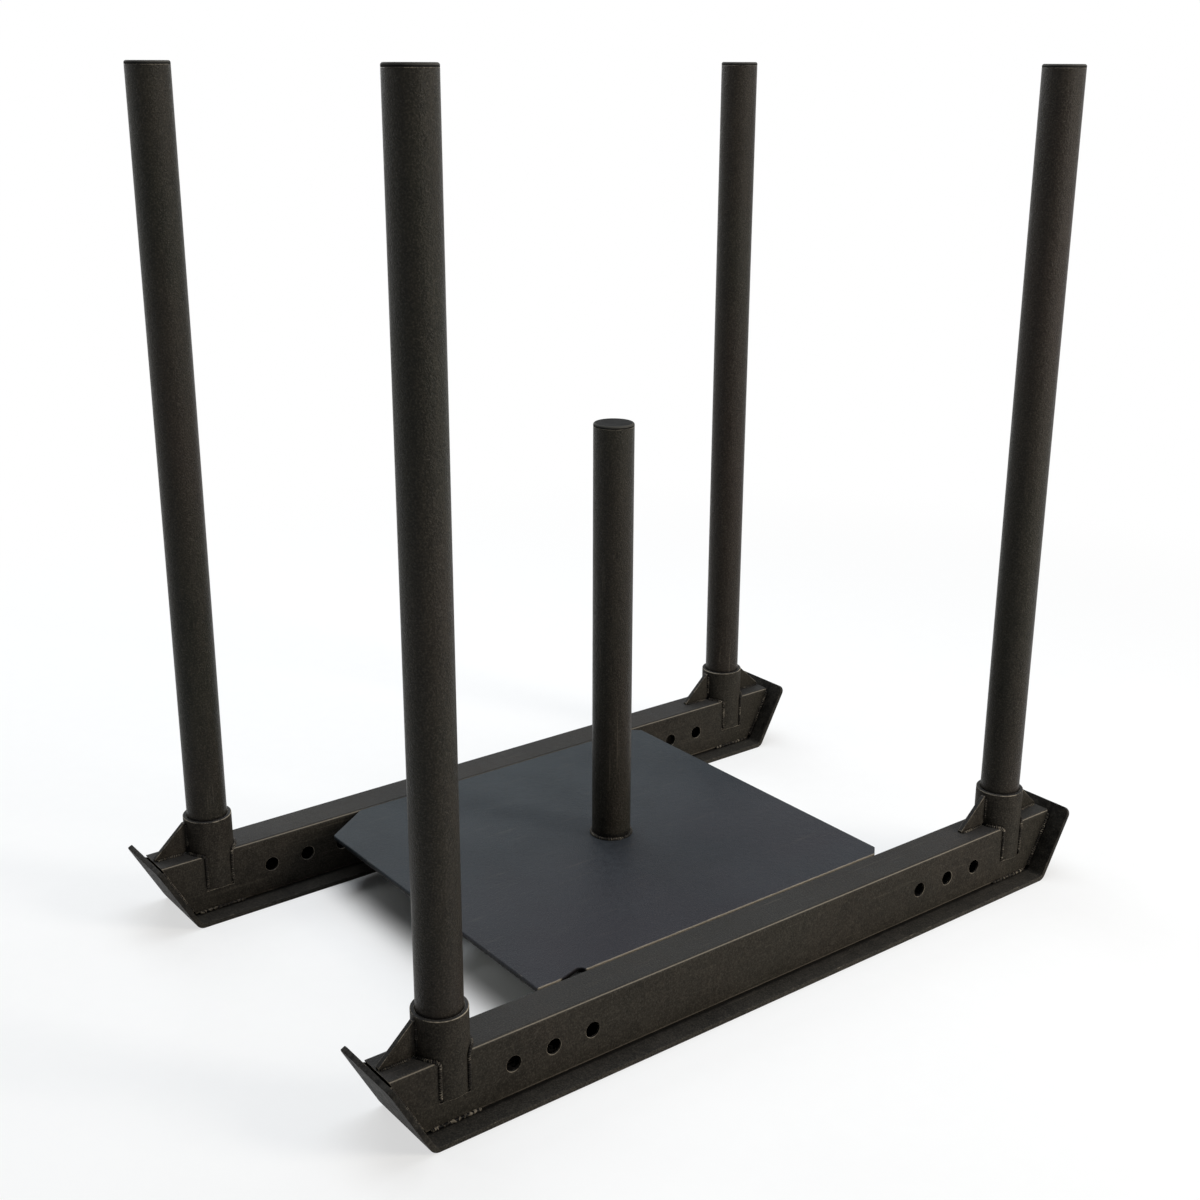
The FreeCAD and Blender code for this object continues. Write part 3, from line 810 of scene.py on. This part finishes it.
def socket_path(centre, wall, edge, stop_at):
    """Up a side seam, over the rail's corner and along the top towards its middle.

    Wall and edge are -1 or 1: which wall of the rail, and which side of the socket.
    """
    lift = 0.0004
    away = 0.0013
    seam_foot = 0.002
    corner_steps, top_steps = 6, 14
    reach = socket_radius + away
    corner = rail_half - rail_corner
    swing = rail_corner + lift
    bend = rail_top - rail_corner
    section = [(rail_half + lift, socket_low.z + seam_foot), (rail_half + lift, bend)]
    for k in range(1, corner_steps + 1):
        turn = math.pi / 2 * k / corner_steps
        section.append((corner + swing * math.cos(turn), bend + swing * math.sin(turn)))
    for k in range(1, top_steps + 1):
        section.append((corner + (stop_at - corner) * k / top_steps, rail_top + lift))
    return [Vector((centre.x + wall * u, centre.y + edge * math.sqrt(reach ** 2 - u ** 2), z))
            for u, z in section]


def socket_paths():
    """Both halves of every side seam. A brace parts them at the rail's middle."""
    beside_brace = 0.0052
    paths = []
    for end, side in CORNERS:
        centre = centre_of(f"{end}_{side}_socket")
        for edge in (-1, 1):
            braced = edge in gusset_directions(end)
            stop_at = beside_brace if braced else 0.0
            halves = [socket_path(centre, wall, edge, stop_at) for wall in (-1, 1)]
            if braced:
                paths += halves
            else:
                paths.append(halves[0] + halves[1][-2::-1])
    return paths


def gusset_paths():
    """Along both sides of a gusset's foot, and up where it meets the socket."""
    aside, above = 0.0007, 0.0006
    from_socket, from_tip = 0.001, 0.002
    climb_away, climb_margin = 0.0004, 0.003
    paths = []
    for end, side in CORNERS:
        centre = centre_of(f"{end}_{side}_socket")
        for direction in gusset_directions(end):
            which = "outer" if direction == SIGN[end] else "inner"
            low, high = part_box(f"{end}_{side}_{which}_gusset")
            tip = (high.y if direction > 0 else low.y) - direction * from_tip
            start = centre.y + direction * (socket_radius + gusset_relief + from_socket)
            climb = centre.y + direction * (socket_radius + climb_away)
            z = rail_top + above
            climb_foot, climb_top = rail_top + gusset_relief + climb_margin, high.z - climb_margin
            for wall in (-1, 1):
                x = centre.x + wall * ((high.x - low.x) / 2 + aside)
                paths.append(line((x, start, z), (x, tip, z)))
                paths.append(line((x, climb, climb_foot), (x, climb, climb_top)))
    return paths


def skid_paths():
    """A short bead on the skid plate at both walls of each end of a rail."""
    length, from_end = 0.06, 0.004
    aside, above = 0.0006, 0.0022
    stop = rail_end_low - from_end
    z = skid_thickness + above
    paths = []
    for end, side in CORNERS:
        for wall in (-1, 1):
            x = SIGN[side] * rail_x + wall * (rail_half + aside)
            paths.append(line((x, SIGN[end] * (stop - length), z), (x, SIGN[end] * stop, z)))
    return paths


def rail_end_paths():
    """Up both sides of a rail's slanted end."""
    out, aside = 0.0016 / math.sin(rail_end_angle), 0.0003
    low_z, high_z = rail_foot + rail_corner + 0.001, rail_top - rail_corner - 0.0005
    paths = []
    for end, side in CORNERS:
        for wall in (-1, 1):
            x = SIGN[side] * rail_x + wall * (rail_half + aside)
            points = []
            for z in (low_z, high_z):
                y = rail_end_low + (z - rail_foot) / math.tan(rail_end_angle) + out
                points.append((x, SIGN[end] * y, z))
            paths.append(line(*points))
    return paths


def deck_paths():
    """Under both long edges of the deck, and round the load post's foot."""
    inset = 0.0008
    front_starts = {"left": deck_front_cut + 0.0005, "right": 0.001}
    rear_stop = deck_rear_cut + 0.001
    ring_points = 72
    low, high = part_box("deck_plate")
    paths = []
    for side, start in front_starts.items():
        x, z = SIGN[side] * (high.x - inset), low.z - inset
        paths.append(line((x, low.y + start, z), (x, high.y - rear_stop, z)))
    radius = post_radius + inset
    ring = []
    for k in range(ring_points):
        turn = 2 * math.pi * k / ring_points
        ring.append(Vector((radius * math.cos(turn), radius * math.sin(turn), high.z + inset)))
    return paths + [ring + [ring[0].copy()]]


beads("socket_beads", "socket_welds", socket_paths(), Bead_Radius=0.0019, Ripple_Pitch=0.0023,
      Seed=1.0)
beads("gusset_beads", "gusset_welds", gusset_paths(), Bead_Radius=0.0015, Ripple_Pitch=0.0021,
      Seed=2.0)
beads("skid_beads", "skid_welds", skid_paths(), Bead_Radius=0.0018, Ripple_Pitch=0.0062,
      Ripple_Height=0.0007, Unevenness=0.0012, Seed=3.0)
beads("rail_end_beads", "rail_end_welds", rail_end_paths(), Bead_Radius=0.0020,
      Ripple_Pitch=0.0026, Seed=4.0)
beads("deck_beads", "deck_welds", deck_paths(), Bead_Radius=0.0019, Ripple_Pitch=0.0024, Seed=5.0)


# Studio

WHITE = colour(1, 1, 1)


def pale(tree):
    """1 for rays from the camera and for reflected ones, which see a white background."""
    rays = add(tree, "ShaderNodeLightPath").outputs
    seen = maths(tree, "MAXIMUM", rays["Is Camera Ray"], rays["Is Glossy Ray"])
    return maths(tree, "MAXIMUM", seen, rays["Is Transmission Ray"])


def studio_floor():
    """Pale paper. It keeps the shadows near the sled and is sheltered under the deck."""
    half = 30.0
    corners = [(-half, -half, 0), (half, -half, 0), (half, half, 0), (-half, half, 0)]
    mesh = bpy.data.meshes.new("floor")
    mesh.from_pydata(corners, [], [(0, 1, 2, 3)])
    material = bpy.data.materials.new("floor_paper")
    material.use_nodes = True
    tree = material.node_tree
    tree.nodes.clear()
    grain = noise(tree, place(tree), 40.0, 4.0)
    paper = blend(tree, grain, colour(0.82, 0.82, 0.82), colour(0.86, 0.86, 0.86))
    matt = add(tree, "ShaderNodeBsdfDiffuse", {"Color": paper}).outputs[0]
    white = add(tree, "ShaderNodeEmission", {"Color": WHITE, "Strength": 1.0}).outputs[0]
    away = vector_maths(tree, "LENGTH", place(tree)).outputs["Value"]
    split = axes(tree, place(tree))
    deck_low, deck_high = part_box("deck_plate")
    across = maths(tree, "DIVIDE", maths(tree, "ABSOLUTE", split["X"]), deck_high.x)
    along = maths(tree, "SUBTRACT", split["Y"], (deck_low.y + deck_high.y) / 2)
    along = maths(tree, "DIVIDE", maths(tree, "ABSOLUTE", along), (deck_high.y - deck_low.y) / 2)
    sheltered = ramp(tree, maths(tree, "MAXIMUM", across, along), 0.85, 1.1)
    lit = maths(tree, "MULTIPLY", ramp(tree, away, 0.8, 2.2, 0.62, 1.0), sheltered)
    share = maths(tree, "MULTIPLY", pale(tree), lit)
    mixed = add(tree, "ShaderNodeMixShader", {0: share, 1: matt, 2: white}).outputs[0]
    add(tree, "ShaderNodeOutputMaterial", {"Surface": mixed})
    mesh.materials.append(material)
    obj = bpy.data.objects.new("floor", mesh)
    bpy.context.scene.collection.objects.link(obj)


def studio_world():
    """A dim sky that is white to the camera and in reflections."""
    world = bpy.data.worlds.new("studio")
    bpy.context.scene.world = world
    world.use_nodes = True
    tree = world.node_tree
    tree.nodes.clear()
    sky = {"Color": colour(0.95, 0.98, 1.0), "Strength": 0.10}
    dim = add(tree, "ShaderNodeBackground", sky).outputs[0]
    white = add(tree, "ShaderNodeBackground", {"Color": WHITE, "Strength": 1.0}).outputs[0]
    mixed = add(tree, "ShaderNodeMixShader", {0: pale(tree), 1: dim, 2: white}).outputs[0]
    add(tree, "ShaderNodeOutputWorld", {"Surface": mixed})


def softbox(name, at, aim, width, height, power, tint):
    lamp = bpy.data.lights.new(name, "AREA")
    lamp.shape = "RECTANGLE"
    lamp.size = width
    lamp.size_y = height
    lamp.energy = power
    lamp.color = tint
    obj = bpy.data.objects.new(name, lamp)
    obj.location = at
    obj.rotation_euler = (Vector(aim) - Vector(at)).to_track_quat("-Z", "Y").to_euler()
    bpy.context.scene.collection.objects.link(obj)


# Fitted to the photo: the lens in millimetres, where the camera stands and how it is turned
photo_lens = 48.6633
photo_camera_at = (1.456754, -1.135949, 1.003685)
photo_camera_turn = (1.249027, -0.004239, 0.918171)


def camera():
    lens = bpy.data.cameras.new("camera")
    lens.sensor_width = 36.0
    lens.lens = photo_lens
    lens.clip_end = 100.0
    obj = bpy.data.objects.new("camera", lens)
    obj.location = photo_camera_at
    obj.rotation_euler = photo_camera_turn
    bpy.context.scene.collection.objects.link(obj)
    bpy.context.scene.camera = obj


studio_floor()
studio_world()
softbox("key", (2.75, 1.7, 1.4), (0, 0, 0.5), 0.8, 2.4, 112.0, (1.0, 0.94, 0.85))
softbox("top", (-0.3, 0.4, 3.0), (0, 0, 0), 2.4, 2.4, 70.0, (0.88, 0.94, 1.0))
softbox("rim", (-2.0, -2.2, 1.4), (0, 0, 0.4), 0.8, 2.0, 13.0, (0.97, 1.0, 0.95))
softbox("fill", (-2.5, 0.1, 2.0), (0, 0, 0.3), 1.6, 1.6, 34.0, (0.94, 0.98, 1.0))
camera()
bpy.context.scene.view_settings.view_transform = "Standard"
